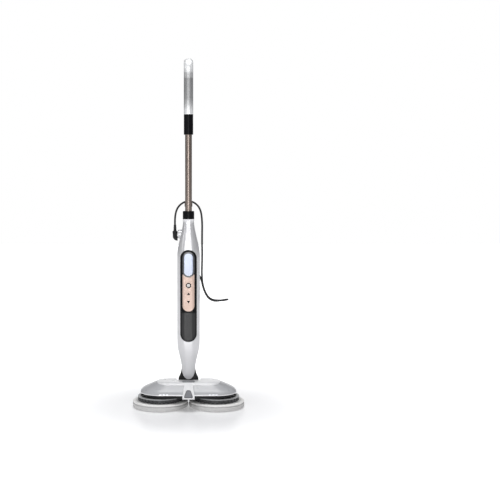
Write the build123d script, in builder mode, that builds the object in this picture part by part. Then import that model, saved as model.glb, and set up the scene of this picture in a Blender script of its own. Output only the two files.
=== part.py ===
from build123d import *
import math
import os

# A twin-pad steam mop, standing on its pads. Millimetres, +Z up, the control panel faces -Y,
# and the origin is on the floor, midway between the two pads.

# ---------------------------------------------------------------- driving dimensions
# rotating pads and the drive
PAD_X = 96.5                 # each pad's centre from the mop's middle
PAD_RADIUS = 93.0
PAD_THICK = 25.0
PAD_EDGE = 8.0
HOLDER_RADIUS = 77.0
HOLDER_LOW, HOLDER_TOP = 25.5, 40.0
HOLDER_RIBS = 32
SPINDLE_RADIUS = 6.0
RUNNING_GAP = 0.06           # radial clearance of a running fit

GEAR_TEETH = 20
PINION_TEETH = 10
GEAR_LOW, GEAR_HIGH = 52.0, 60.0
GEAR_PITCH_R = PAD_X / 3     # four equal gears bridge the two pad centres
MODULE = 2 * GEAR_PITCH_R / GEAR_TEETH
PRESSURE_ANGLE = math.radians(25)
BACKLASH = 0.45
AXLE_RADIUS = 4.0
PINION_SHAFT_R = 2.5

# head
HEAD_Y = -10.0               # middle of the cover, front to back
COVER_STATIONS = (           # height, length, depth, corner radius
    (54.0, 328.0, 150.0, 70.0),
    (61.0, 324.0, 146.0, 69.0),
    (73.0, 294.0, 124.0, 60.0),
    (84.0, 246.0, 96.0, 46.0),
    (91.5, 190.0, 62.0, 30.0),
)
COVER_WALL = 2.5
BASE_LENGTH, BASE_DEPTH, BASE_CORNER = 306.0, 132.0, 62.0
BASE_LOW, BASE_FLOOR, BASE_TOP = 43.0, 47.0, 58.0
PLATE_LOW, PLATE_TOP = 61.0, 63.5
WELL_X = 46.0                # half width of the pivot well, outside
WELL_WALL = 5.0
WELL_FRONT, WELL_REAR = -6.0, 52.0
WELL_FLOOR = 66.0

# pivots
RECLINE_Y, RECLINE_Z = 18.0, 78.0
RECLINE_BARREL_R = 10.0
STEER_Z = 125.0
TANG_FRONT, TANG_REAR = 2.0, 20.0
TANG_TOP_R = 28.0
PIN_RADIUS = 4.0

# main body of the wand
BODY_WALL = 2.5
BODY_LOWER = (               # height, half width, front reach, rear reach
    (96.0, 21.0, 15.0, 22.0),
    (129.0, 22.5, 22.0, 25.0),
    (150.0, 25.0, 26.0, 28.0),
    (178.0, 31.0, 31.0, 34.0),
    (204.0, 37.0, 34.5, 39.5),
    (222.0, 38.6, 35.8, 41.8),
    (232.0, 38.8, 36.0, 42.0),
)
BODY_UPPER = (
    (516.0, 38.8, 36.0, 42.0),
    (526.0, 38.4, 35.8, 41.6),
    (544.0, 36.3, 34.4, 38.6),
    (562.0, 32.6, 31.4, 33.8),
    (582.0, 27.8, 27.4, 28.4),
    (605.0, 22.6, 22.8, 23.0),
    (644.0, 20.0, 20.0, 20.0),
)
BODY_CORNER = 0.72           # corner radius as a share of the smaller half size
CAVITY_LOW, CAVITY_TOP = 162.0, 636.0
SEAM_Y = 11.0                # front and rear housings meet here

# control panel
PANEL_WIDTH, PANEL_LOW, PANEL_TOP = 56.0, 229.0, 541.0
WINDOW_Z, WINDOW_W, WINDOW_H, WINDOW_R = 491.5, 29.6, 75.0, 14.3
WINDOW_RIM = 5.4
PLATE_W, PLATE_HIGH_Z, PLATE_LOW_Z = 40.0, 458.0, 333.0
LOWER_W, LOWER_TOP_Z, LOWER_LOW_Z = 48.0, 328.0, 233.5
POWER_Z, POWER_R, POWER_RING = 421.0, 5.6, 3.4
ARROW_UP_Z, ARROW_DOWN_Z, ARROW_R = 392.0, 366.0, 5.4
BUTTON_BACK_Y, POWER_FRONT_Y, ARROW_FRONT_Y = -31.8, -38.6, -38.3
BUTTON_GAP = 0.3

# tube and handle
COLLAR_LOW, COLLAR_TOP, COLLAR_R = 644.0, 671.0, 19.5
TUBE_RADIUS, TUBE_WALL, TUBE_LOW, TUBE_TOP = 11.5, 1.2, 618.0, 986.0
SLEEVE_LOW, SLEEVE_TOP, SLEEVE_R = 928.0, 996.0, 15.75
HANDLE_HALF_W, HANDLE_SOFT = 15.75, 13.0
HANDLE_OUTER = ((16, 1150, 34), (44, 1126, 32), (35, 1064, 28), (0, 984, 16))   # y, z, radius
HANDLE_HOLE = ((19, 1145, 16), (41, 1124, 16), (34, 1072, 12), (15, 1062, 11))
HANDLE_INNER_THICK = 7.0
GRIP_LOW, GRIP_TOP, GRIP_BACK = 1040.0, 1117.0, -6.0

# mains cord
CORD_D = 6.5
HANK_Z = 385.0               # middle of the hank between the two hooks
HANK_RUN = 125.0             # distance between the hooks' centres
HANK_INNER_R, HANK_RINGS, HANK_LAYERS = 19.5, 3, 5
HANK_FRONT = 46.0
CORD_ROUTE = [               # from the strain relief, over the tube, down the right side, to the hank
    (-46, 14, 622), (-47, 15, 650), (-38, 19, 684), (-12, 22, 704), (16, 22, 703), (40, 19, 681),
    (47, 16, 640), (46, 14, 578), (46.8, 13, 510), (45, 13, 446), (51, 12.5, 404), (72, 12, 367),
    (112.5, 11, 364), (135, 33.5, 365), (136, 65.5, 362), (116, 87, 356), (90, 90, 352),
    (67, 87, 364), (51.5, 84, 398), (45.5, 82, 428), (36, 76.5, 447),
]
TAIL_ROUTE = [(-32.5, 49.25, 330), (-31, 50, 303), (-24, 52, 278), (-18, 53, 253)]
CORD_TURN_LIMIT = 90
PLUG_AT = (-18, 53)
PLUG_LOW, PLUG_TOP = 199.0, 253.0


# ---------------------------------------------------------------- helpers
def save(piece, label):
    """Label a finished piece and write its STEP file."""
    piece.part.label = label
    export_step(piece.part, f"parts/{label}.step")


def cover_form(grow):
    """The head cover's domed outer form, grown outwards by grow."""
    with BuildPart() as form:
        for height, length, depth, corner in COVER_STATIONS:
            lift = 0 if height == COVER_STATIONS[0][0] else grow
            with BuildSketch(Plane.XY.offset(height + lift)):
                with Locations((0, HEAD_Y)):
                    RectangleRounded(length + 2 * grow, depth + 2 * grow, corner + grow)
        loft()
    return form.part


def body_corner(half_w, front, rear):
    """The corner radius of a cross-section of the body."""
    return BODY_CORNER * min(half_w, (front + rear) / 2)


def wand_form(grow):
    """The wand body's outer form, from the pivot tongue to the neck, grown outwards by grow."""
    straight = (BODY_LOWER[-1], BODY_UPPER[0])
    with BuildPart() as form:
        for stations in (BODY_LOWER, straight, BODY_UPPER):
            for height, half_w, front, rear in stations:
                with BuildSketch(Plane.XY.offset(height)):
                    with Locations((0, (rear - front) / 2)):
                        RectangleRounded(
                            2 * (half_w + grow), front + rear + 2 * grow,
                            body_corner(half_w, front, rear) + grow,
                        )
            loft()
    return form.part


def panel_outline(width, low, top, corner):
    """An upright rounded rectangle on the front, drawn on the XZ plane."""
    with Locations((0, (low + top) / 2)):
        RectangleRounded(width, top - low, corner)


def shield_outline(width, low, top):
    """An upright plate with a half-round lower end, drawn on the XZ plane."""
    with Locations((0, low + width / 2)):
        Circle(width / 2)
    with Locations((0, (low + width / 2 + top) / 2)):
        Rectangle(width, top - low - width / 2)


def arrow_outline(height, radius, turn):
    """A small triangle for a mode button, pointing up (turn 90) or down (turn -90)."""
    with Locations((0, height)):
        RegularPolygon(radius, 3, rotation=turn)


def keep_between(low_form, high_form):
    """Trim the current prism to the skin between two forms of the body."""
    add(high_form, mode=Mode.INTERSECT)
    add(low_form, mode=Mode.SUBTRACT)


def hull_profile(circles, grow=0.0):
    """The taut outline round a few circles given as (y, z, radius)."""
    for y, z, radius in circles:
        with Locations((y, z)):
            Circle(radius + grow)
    make_hull()


def tooth_points(teeth):
    """One involute tooth pointing along +X, thinned by the backlash."""
    pitch_r = MODULE * teeth / 2
    base_r = pitch_r * math.cos(PRESSURE_ANGLE)
    tip_r = pitch_r + 0.8 * MODULE
    foot_r = max(base_r, pitch_r - 0.85 * MODULE)
    involute = lambda r: math.tan(math.acos(base_r / r)) - math.acos(base_r / r)
    half_angle = math.pi / (2 * teeth) - BACKLASH / (2 * pitch_r)
    flank = []
    for step in range(5):
        radius = foot_r + (tip_r - foot_r) * step / 4
        angle = half_angle + involute(pitch_r) - involute(radius)
        flank.append((radius, angle))
    inner = (pitch_r - 1.3 * MODULE, flank[0][1])
    side = [inner] + flank
    upper = [(r * math.cos(a), r * math.sin(a)) for r, a in side]
    lower = [(r * math.cos(a), -r * math.sin(a)) for r, a in reversed(side)]
    return upper + lower


def spur_gear(label, teeth, centre, phase, bore, shaft_top=0.0):
    """A spur gear lying flat inside the head, with a light web and a bore or its own shaft."""
    root_r = MODULE * teeth / 2 - MODULE
    with BuildPart() as gear:
        with BuildSketch(Plane.XY.offset(GEAR_LOW)):
            with Locations(centre):
                Circle(root_r)
            with Locations(Location((centre[0], centre[1], 0), (0, 0, phase))):
                with PolarLocations(0, teeth):
                    Polygon(*tooth_points(teeth), align=None)
            with Locations(centre):
                Circle(bore, mode=Mode.SUBTRACT)
        extrude(amount=GEAR_HIGH - GEAR_LOW)
        if shaft_top:
            with BuildSketch(Plane.XY.offset(GEAR_LOW - 1)):
                with Locations(centre):
                    Circle(bore)
            extrude(amount=shaft_top - GEAR_LOW + 1)
        if root_r > 20:
            with BuildSketch(Plane.XY.offset(GEAR_HIGH)):
                with Locations(centre):
                    Circle(root_r - 4)
                    Circle(bore + 5, mode=Mode.SUBTRACT)
            extrude(amount=-2.5, mode=Mode.SUBTRACT)
    save(gear, label)


def cord_path(points):
    """Straight runs joined by tangent arcs, each as large as its two runs allow."""
    corners = [Vector(*p) for p in points]
    radii = []
    for before, here, after in zip(corners, corners[1:], corners[2:]):
        run_in, run_out = here - before, after - here
        turn = run_in.get_angle(run_out)
        shorter = min(run_in.length, run_out.length)
        radii.append(0.45 * shorter / math.tan(math.radians(turn) / 2))
        if turn > CORD_TURN_LIMIT:
            print("sharp turn at", tuple(here), round(turn, 1))
    print("arc radii:", " ".join(f"{r:.0f}" for r in radii))
    with BuildLine() as path:
        FilletPolyline(*points, radius=radii)
    return path.line


def cord_tubes(routes, label):
    """Plain round tubes along the stretches of a cord that aren't wound up."""
    length = 0
    with BuildPart() as tubes:
        for points in routes:
            path = cord_path(points)
            length += sum(edge.length for edge in path.edges())
            with BuildSketch(Plane(origin=path @ 0, z_dir=path % 0)):
                Circle(CORD_D / 2)
            sweep(path=path)
    expected = math.pi * (CORD_D / 2) ** 2 * length
    print(f"{label}: {length:.0f} mm, volume {tubes.part.volume:.0f} of {expected:.0f}")
    save(tubes, label)


def screws(label, places, direction, length):
    """A group of identical pan-head screws, each pointing along direction."""
    with BuildPart() as group:
        for place in places:
            with BuildSketch(Plane(origin=place, z_dir=direction)):
                Circle(1.5)
            extrude(amount=length)
            with BuildSketch(Plane(origin=place, z_dir=direction)):
                Circle(3.2)
                Rectangle(4.0, 0.8, mode=Mode.SUBTRACT)
            extrude(amount=-1.8)
    save(group, label)


os.makedirs("parts", exist_ok=True)
DOME = cover_form(0)
DOME_INSIDE = cover_form(-COVER_WALL)
BODY = wand_form(0)
SIDES = (("left", -1), ("right", 1))


# ---------------------------------------------------------------- rotating pads
def pad_set(side, sign):
    """One rotating assembly: pad, ribbed holder and spindle."""
    centre = (sign * PAD_X, 0)
    with BuildPart() as mop_pad:
        with BuildSketch():
            with Locations(centre):
                Circle(PAD_RADIUS)
        extrude(amount=PAD_THICK)
        fillet(mop_pad.faces().sort_by(Axis.Z)[-1].edges(), PAD_EDGE)
        fillet(mop_pad.faces().sort_by(Axis.Z)[0].edges(), PAD_EDGE / 2)
    save(mop_pad, f"{side}_mop_pad")

    with BuildPart() as holder:
        with BuildSketch(Plane.XY.offset(HOLDER_LOW)):
            with Locations(centre):
                Circle(HOLDER_RADIUS - 3)
        extrude(amount=HOLDER_TOP - HOLDER_LOW - 1)
        with BuildSketch(Plane.XY.offset(HOLDER_TOP - 3.5)):
            with Locations(centre):
                Circle(HOLDER_RADIUS)
        extrude(amount=3.5)
        fillet(holder.faces().sort_by(Axis.Z)[-1].edges(), 1.5)
        with BuildSketch(Plane.XY.offset(HOLDER_LOW)):
            with Locations(centre):
                with PolarLocations(HOLDER_RADIUS - 3, HOLDER_RIBS):
                    RectangleRounded(5.6, 8.0, 1.2)
        extrude(amount=HOLDER_TOP - HOLDER_LOW - 3.5)
        with BuildSketch(Plane.XY.offset(HOLDER_TOP)):
            with Locations(centre):
                Circle(HOLDER_RADIUS - 9)
                Circle(22, mode=Mode.SUBTRACT)
        extrude(amount=-7, mode=Mode.SUBTRACT)
        with BuildSketch(Plane.XY.offset(HOLDER_TOP - 7)):
            with Locations(centre):
                with PolarLocations(45, 12):
                    Rectangle(47, 2.4)
        extrude(amount=5)
        with BuildSketch(Plane.XY.offset(HOLDER_TOP)):
            with Locations(centre):
                Circle(SPINDLE_RADIUS)
        extrude(amount=-8, mode=Mode.SUBTRACT)
    save(holder, f"{side}_pad_holder")

    with BuildPart() as spindle:
        with BuildSketch(Plane.XY.offset(HOLDER_TOP - 8)):
            with Locations(centre):
                Circle(SPINDLE_RADIUS)
        extrude(amount=GEAR_HIGH + 0.6 - HOLDER_TOP + 8)
        with BuildSketch(Plane.XY.offset(GEAR_HIGH + 0.6)):
            with Locations(centre):
                Circle(AXLE_RADIUS)
        extrude(amount=PLATE_TOP + 1.5 - GEAR_HIGH - 0.6)
        chamfer(spindle.faces().sort_by(Axis.Z)[-1].edges(), 0.8)
    save(spindle, f"{side}_spindle")


for side, sign in SIDES:
    pad_set(side, sign)

# the train: pad gear, idler, idler, pad gear, with the motor's pinion in mesh with the right idler
HALF_TOOTH = 180 / GEAR_TEETH
IDLER_X = GEAR_PITCH_R
PINION_PITCH_R = MODULE * PINION_TEETH / 2
PINION_AT = (IDLER_X, -(GEAR_PITCH_R + PINION_PITCH_R))
spur_gear("left_pad_gear", GEAR_TEETH, (-PAD_X, 0), 0, SPINDLE_RADIUS)
spur_gear("left_idler_gear", GEAR_TEETH, (-IDLER_X, 0), HALF_TOOTH, AXLE_RADIUS + RUNNING_GAP)
spur_gear("right_idler_gear", GEAR_TEETH, (IDLER_X, 0), 0, AXLE_RADIUS + RUNNING_GAP)
spur_gear("right_pad_gear", GEAR_TEETH, (PAD_X, 0), HALF_TOOTH, SPINDLE_RADIUS)
spur_gear("motor_pinion", PINION_TEETH, PINION_AT, 0, PINION_SHAFT_R, PLATE_TOP + 9)


# ---------------------------------------------------------------- head
BUSH_R = SPINDLE_RADIUS + 3
BASE_SCREW_PLACES = [
    (sign * x, y, BASE_LOW + 1.8) for sign in (-1, 1) for x, y in ((60, -66), (60, 44), (138, -10), (20, -66))
]

with BuildPart() as head_base:
    with BuildSketch(Plane.XY.offset(BASE_LOW)):
        with Locations((0, HEAD_Y)):
            RectangleRounded(BASE_LENGTH, BASE_DEPTH, BASE_CORNER)
    extrude(amount=BASE_TOP - BASE_LOW)
    with BuildSketch(Plane.XY.offset(BASE_FLOOR)):
        with Locations((0, HEAD_Y)):
            RectangleRounded(BASE_LENGTH - 5, BASE_DEPTH - 5, BASE_CORNER - 2.5)
    extrude(amount=BASE_TOP - BASE_FLOOR, mode=Mode.SUBTRACT)
    with BuildSketch(Plane.XY.offset(BASE_LOW)):
        with Locations((-PAD_X, 0), (PAD_X, 0)):
            Circle(BUSH_R)
        with Locations(*[(x, y) for x, y, z in BASE_SCREW_PLACES]):
            Circle(1.5)
        with Locations((-9, -50), (9, -50)):
            Circle(3)
        with Locations((-IDLER_X, 0), (IDLER_X, 0)):
            Circle(AXLE_RADIUS)
    extrude(amount=BASE_FLOOR - BASE_LOW, mode=Mode.SUBTRACT)
    with BuildSketch(Plane.XY.offset(BASE_LOW)):
        with Locations(*[(x, y) for x, y, z in BASE_SCREW_PLACES]):
            Circle(3.4)
    extrude(amount=1.8, mode=Mode.SUBTRACT)
save(head_base, "head_base")

with BuildPart() as spindle_bushes:
    with BuildSketch(Plane.XY.offset(BASE_LOW)):
        with Locations((-PAD_X, 0), (PAD_X, 0)):
            Circle(BUSH_R)
            Circle(SPINDLE_RADIUS + RUNNING_GAP, mode=Mode.SUBTRACT)
    extrude(amount=GEAR_LOW - 1 - BASE_LOW)
save(spindle_bushes, "spindle_bushes")

with BuildPart() as gear_axles:
    with BuildSketch(Plane.XY.offset(BASE_LOW)):
        with Locations((-IDLER_X, 0), (IDLER_X, 0)):
            Circle(AXLE_RADIUS)
    extrude(amount=PLATE_LOW - BASE_LOW)
    with BuildSketch(Plane.XY.offset(BASE_FLOOR)):
        with Locations((-IDLER_X, 0), (IDLER_X, 0)):
            Circle(AXLE_RADIUS + 3)
    extrude(amount=GEAR_LOW - 0.5 - BASE_FLOOR)
save(gear_axles, "gear_axles")

# the well that holds the recline pivot, open at the top between the cover's two shoulders
with BuildPart() as pivot_well:
    with BuildSketch(Plane.XY.offset(PLATE_TOP)):
        with Locations((0, (WELL_FRONT + WELL_REAR) / 2)):
            RectangleRounded(2 * WELL_X, WELL_REAR - WELL_FRONT, 6)
    extrude(amount=30)
    add(DOME_INSIDE, mode=Mode.INTERSECT)
    with BuildSketch(Plane.XY.offset(WELL_FLOOR)):
        with Locations((0, (WELL_FRONT + WELL_REAR) / 2)):
            RectangleRounded(2 * (WELL_X - WELL_WALL), WELL_REAR - WELL_FRONT - 5, 4)
    extrude(amount=40, mode=Mode.SUBTRACT)
    with Locations(Location((0, RECLINE_Y, RECLINE_Z), (0, 90, 0))):
        Cylinder(PIN_RADIUS, 4 * WELL_X, mode=Mode.SUBTRACT)

with BuildPart() as gearbox_plate:
    with BuildSketch(Plane.XY.offset(PLATE_LOW)):
        with Locations((0, HEAD_Y + 3)):
            RectangleRounded(262, 92, 14)
        with Locations((-PAD_X, 0), (PAD_X, 0)):
            Circle(AXLE_RADIUS + RUNNING_GAP, mode=Mode.SUBTRACT)
        with Locations(PINION_AT):
            Circle(PINION_SHAFT_R + 1, mode=Mode.SUBTRACT)
    extrude(amount=PLATE_TOP - PLATE_LOW)
    with BuildSketch(Plane.XY.offset(BASE_FLOOR)):
        with Locations((-123, -44), (123, -44), (-123, 31), (123, 31), (-64, -46), (-4, 36)):
            Circle(3.5)
    extrude(amount=PLATE_LOW - BASE_FLOOR)
    add(pivot_well.part)
save(gearbox_plate, "gearbox_plate")

MOTOR_R = 14.0
with BuildPart() as drive_motor:
    with BuildSketch(Plane.XY.offset(PLATE_TOP)):
        with Locations(PINION_AT):
            Circle(MOTOR_R)
    extrude(amount=12)
    fillet(drive_motor.faces().sort_by(Axis.Z)[-1].edges(), 2)
    with BuildSketch(Plane.XY.offset(PLATE_TOP)):
        with Locations(PINION_AT):
            Circle(PINION_SHAFT_R + RUNNING_GAP)
    extrude(amount=10, mode=Mode.SUBTRACT)
save(drive_motor, "drive_motor")

with BuildPart() as steam_nozzles:
    for x in (-9, 9):
        with BuildSketch(Plane.XY.offset(BASE_LOW - 3)):
            with Locations((x, -50)):
                Circle(3)
                Circle(0.8, mode=Mode.SUBTRACT)
        extrude(amount=BASE_FLOOR + 5 - BASE_LOW)
save(steam_nozzles, "steam_nozzles")

with BuildPart() as well_opening:
    with BuildSketch(Plane.XY.offset(PLATE_TOP + 1)):
        with Locations((0, (WELL_FRONT + WELL_REAR) / 2)):
            RectangleRounded(2 * (WELL_X - WELL_WALL), WELL_REAR - WELL_FRONT - 5, 4)
    extrude(amount=60)


NOSE_TOP_W, NOSE_W = 30.0, 41.0
NOSE_FACE = ((-92.5, 47.5), (-80.0, 76.0))      # lower and upper end of its sloping front, as (y, z)
NOSE_SIDE = (
    (-77.5, 42.5), (-88, 42.5), NOSE_FACE[0], NOSE_FACE[1], (-61, 86.5), (-50, 87), (-50, 79), (-77.5, 57),
)


def nose_form():
    """The nose block: its side outline cut to its front outline."""
    with BuildPart() as block:
        with BuildSketch(Plane.YZ):
            with BuildLine():
                FilletPolyline(*NOSE_SIDE, radius=2.5, close=True)
            make_face()
        extrude(amount=NOSE_W, both=True)
        with BuildSketch(Plane.XZ):
            with BuildLine():
                half, top = NOSE_W / 2, NOSE_TOP_W / 2
                FilletPolyline(
                    (-half, 30), (half, 30), (half, 54), (top, 82), (top, 110), (-top, 110), (-top, 82),
                    (-half, 54), radius=3, close=True,
                )
            make_face()
        extrude(amount=120, mode=Mode.INTERSECT)
    return block.part


NOSE = nose_form()

with BuildPart() as head_cover:
    add(DOME)
    add(DOME_INSIDE, mode=Mode.SUBTRACT)
    with BuildSketch(Plane.XY.offset(COVER_STATIONS[0][0])):
        with Locations((0, HEAD_Y)):
            RectangleRounded(
                COVER_STATIONS[0][1] - 2 * COVER_WALL, COVER_STATIONS[0][2] - 2 * COVER_WALL,
                COVER_STATIONS[0][3] - COVER_WALL,
            )
    extrude(amount=1, mode=Mode.SUBTRACT)
    add(well_opening.part, mode=Mode.SUBTRACT)
save(head_cover, "head_cover")

with BuildPart() as top_plate:
    with BuildSketch():
        with Locations((0, -1)):
            RectangleRounded(214, 114, 34)
    extrude(amount=120)
    add(cover_form(1.4), mode=Mode.INTERSECT)
    add(DOME, mode=Mode.SUBTRACT)
    add(well_opening.part, mode=Mode.SUBTRACT)
save(top_plate, "top_plate")

with BuildPart() as badge_plate:
    with BuildSketch():
        with Locations((0, -36)):
            RectangleRounded(42, 22, 5)
    extrude(amount=120)
    add(cover_form(2.3), mode=Mode.INTERSECT)
    add(cover_form(1.4), mode=Mode.SUBTRACT)
save(badge_plate, "badge_plate")

BADGE_AT = Vector(0, -87.2, 59.5)
BADGE_NORMAL = Vector(0, NOSE_FACE[0][1] - NOSE_FACE[1][1], NOSE_FACE[1][0] - NOSE_FACE[0][0]).normalized()
with BuildPart() as nose_badge:
    with BuildSketch(Plane(origin=BADGE_AT - BADGE_NORMAL, x_dir=(1, 0, 0), z_dir=BADGE_NORMAL)):
        with BuildLine():
            FilletPolyline((-14.5, -11.5), (14.5, -11.5), (6.5, 13.5), (-6.5, 13.5), radius=4.5, close=True)
        make_face()
    extrude(amount=2)
save(nose_badge, "nose_badge")

with BuildPart() as nose_housing:
    add(NOSE)
    add(cover_form(1.4), mode=Mode.SUBTRACT)
    add(nose_badge.part, mode=Mode.SUBTRACT)
save(nose_housing, "nose_housing")

with BuildPart() as front_light_lenses:
    for sign in (-1, 1):
        for x in (72, 83, 94):
            with BuildSketch(Plane.XZ.offset(60)):
                with Locations((sign * x, 57.8)):
                    RectangleRounded(8, 3, 1.4)
            extrude(amount=40)
    add(cover_form(0.9), mode=Mode.INTERSECT)
    add(DOME, mode=Mode.SUBTRACT)
save(front_light_lenses, "front_light_lenses")

screws("base_screws", BASE_SCREW_PLACES, (0, 0, 1), 8)

with BuildPart() as pivot_pins:
    for sign in (-1, 1):
        with Locations(Location((sign * 36.5, RECLINE_Y, RECLINE_Z), (0, 90, 0))):
            Cylinder(PIN_RADIUS, 19)
save(pivot_pins, "pivot_pins")


# ---------------------------------------------------------------- yoke
BARREL_HALF = 37.5
with BuildPart() as pivot_yoke:
    with BuildSketch(Plane.XZ.offset(-TANG_REAR)):
        with BuildLine():
            reach = 24.0
            shoulder = STEER_Z + math.sqrt(TANG_TOP_R ** 2 - reach ** 2)
            ThreePointArc((-reach, shoulder), (0, STEER_Z + TANG_TOP_R), (reach, shoulder))
            ThreePointArc((reach, shoulder), (26.0, 116), (34, 98))
            Line((34, 98), (34, RECLINE_Z))
            Line((34, RECLINE_Z), (-34, RECLINE_Z))
            Line((-34, RECLINE_Z), (-34, 98))
            ThreePointArc((-34, 98), (-26.0, 116), (-reach, shoulder))
        make_face()
    extrude(amount=TANG_REAR - TANG_FRONT)
    fillet(pivot_yoke.edges().filter_by(Axis.Y).group_by(Axis.Z)[1], 6)
    with Locations(Location((0, RECLINE_Y, RECLINE_Z), (0, 90, 0))):
        Cylinder(RECLINE_BARREL_R, 2 * BARREL_HALF)
    for sign in (-1, 1):
        with Locations(Location((sign * BARREL_HALF, RECLINE_Y, RECLINE_Z), (0, 90, 0))):
            Cylinder(PIN_RADIUS + RUNNING_GAP, 24, mode=Mode.SUBTRACT)
    with Locations(Location((0, 11, STEER_Z), (90, 0, 0))):
        Cylinder(PIN_RADIUS + RUNNING_GAP, 60, mode=Mode.SUBTRACT)
save(pivot_yoke, "pivot_yoke")

with BuildPart() as steer_pin:
    with Locations(Location((0, 4, STEER_Z), (90, 0, 0))):
        Cylinder(PIN_RADIUS, 38)
save(steer_pin, "steer_pin")


# ---------------------------------------------------------------- body of the wand
def tang_slot():
    """Clear the slot in which the yoke's tang swings."""
    gap = 0.5
    with Locations((0, (TANG_FRONT + TANG_REAR) / 2, 100)):
        Box(120, TANG_REAR - TANG_FRONT + 2 * gap, 2 * (STEER_Z + TANG_TOP_R + 4 - 100), mode=Mode.SUBTRACT)


def tongue_outline():
    """Trim the lower end to a rounded V, seen from the front."""
    with BuildSketch(Plane.XZ, mode=Mode.PRIVATE) as waste:
        with BuildLine():
            Polyline((60, 60), (60, 136), (25, 136), (22.3, 129))
            Spline((22.3, 129), (17.8, 111), (8.5, 99.8), (0, 97.2), tangents=((-0.2, -1), (-1, 0)))
            Line((0, 97.2), (0, 60))
            Line((0, 60), (60, 60))
        make_face()
        mirror(about=Plane.YZ)
    extrude(waste.sketch, amount=120, both=True, mode=Mode.SUBTRACT)


def steer_bore():
    """Cut the seat of the steering pin."""
    with Locations(Location((0, 4, STEER_Z), (90, 0, 0))):
        Cylinder(PIN_RADIUS, 38, mode=Mode.SUBTRACT)


def cavity():
    """Hollow the body between its tongue and its neck."""
    with BuildPart() as space:
        add(wand_form(-BODY_WALL))
        with Locations((0, 0, (CAVITY_LOW + CAVITY_TOP) / 2)):
            Box(200, 200, CAVITY_TOP - CAVITY_LOW, mode=Mode.INTERSECT)
    return space.part


CAVITY = cavity()
NECK_BORE = Pos(0, 0, 640) * Cylinder(TUBE_RADIUS, 40)
BOSS_X, BOSS_Y, BOSS_Z, BOSS_R = -37.0, 14.0, 592.0, 15.0
FILLER_Z, FILLER_R, FILLER_HOLE_R = 500.0, 13.0, 9.6
HOOK_POST_R = HANK_INNER_R - CORD_D / 2 - 0.6
HOOK_PLACES = (HANK_Z + HANK_RUN / 2, HANK_Z - HANK_RUN / 2)
CAP_FRONT, CAP_THICK, CAP_HINGE_R = 42.4, 3.2, 2.0
CAP_HINGE_Z = FILLER_Z + FILLER_R + CAP_HINGE_R
REAR_SCREW_PLACES = [(x, 42.2, z) for x in (-24, 24) for z in (250, 290, 508)]

with BuildPart() as front_housing:
    add(BODY)
    add(CAVITY, mode=Mode.SUBTRACT)
    split(bisect_by=Plane.XZ.offset(-SEAM_Y), keep=Keep.TOP)
    tang_slot()
    tongue_outline()
    steer_bore()
    add(NECK_BORE, mode=Mode.SUBTRACT)
    with BuildSketch(Plane.XZ):
        with Locations((0, POWER_Z)):
            Circle(POWER_R + BUTTON_GAP)
        arrow_outline(ARROW_UP_Z, ARROW_R + 2 * BUTTON_GAP, 90)
        arrow_outline(ARROW_DOWN_Z, ARROW_R + 2 * BUTTON_GAP, -90)
    extrude(amount=60, mode=Mode.SUBTRACT)
save(front_housing, "front_housing")

# the moulded boss of the cord's elbow and the two ears of the filler cap's hinge
with BuildPart() as cord_boss:
    with Locations(Location((BOSS_X + 9, BOSS_Y, BOSS_Z), (0, 90, 0))):
        Cylinder(BOSS_R, 18)
    fillet(cord_boss.faces().sort_by(Axis.X)[0].edges(), 4)
    add(BODY, mode=Mode.SUBTRACT)

with BuildPart() as hinge_ears:
    for x in (-8.4, 8.4):
        with Locations((x, CAP_FRONT + 0.8, CAP_HINGE_Z)):
            Box(4, 6.4, 5)
    with Locations(Location((0, CAP_FRONT + CAP_HINGE_R, CAP_HINGE_Z), (0, 90, 0))):
        Cylinder(1.0, 18)

with BuildPart() as rear_housing:
    add(BODY)
    add(CAVITY, mode=Mode.SUBTRACT)
    split(bisect_by=Plane.XZ.offset(-SEAM_Y), keep=Keep.BOTTOM)
    tang_slot()
    tongue_outline()
    steer_bore()
    add(NECK_BORE, mode=Mode.SUBTRACT)
    with Locations(Location((0, 42, FILLER_Z), (90, 0, 0))):
        Cylinder(FILLER_HOLE_R + 1.4, 20, mode=Mode.SUBTRACT)
    with Locations(*[Location((x, 42, z), (90, 0, 0)) for x, y, z in REAR_SCREW_PLACES]):
        Cylinder(1.5, 20, mode=Mode.SUBTRACT)
    add(hinge_ears.part)
    add(cord_boss.part)
save(rear_housing, "rear_housing")

# the control panel's pieces follow the curved front
RAISED = {step: wand_form(step) for step in (0.9, 1.2, 1.6, 2.0)}
FRONT_REACH = 60


def window_hole(extra):
    """The tank window's outline, drawn out by extra."""
    with Locations((0, WINDOW_Z)):
        RectangleRounded(WINDOW_W + 2 * extra, WINDOW_H + 2 * extra, WINDOW_R + extra)


with BuildPart() as panel_bezel:
    with BuildSketch(Plane.XZ):
        panel_outline(PANEL_WIDTH, PANEL_LOW, PANEL_TOP, PANEL_WIDTH / 2 - 0.5)
        with BuildSketch(mode=Mode.SUBTRACT):
            window_hole(WINDOW_RIM)
            shield_outline(PLATE_W, PLATE_LOW_Z, PLATE_HIGH_Z)
            shield_outline(LOWER_W, LOWER_LOW_Z, LOWER_TOP_Z)
    extrude(amount=FRONT_REACH)
    keep_between(BODY, RAISED[1.2])
save(panel_bezel, "panel_bezel")

with BuildPart() as window_ring:
    with BuildSketch(Plane.XZ):
        window_hole(WINDOW_RIM)
        with BuildSketch(mode=Mode.SUBTRACT):
            window_hole(0)
    extrude(amount=FRONT_REACH)
    keep_between(BODY, RAISED[2.0])
save(window_ring, "window_ring")

with BuildPart() as tank_window:
    with BuildSketch(Plane.XZ):
        window_hole(0)
    extrude(amount=FRONT_REACH)
    keep_between(BODY, RAISED[1.6])
save(tank_window, "tank_window")

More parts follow.
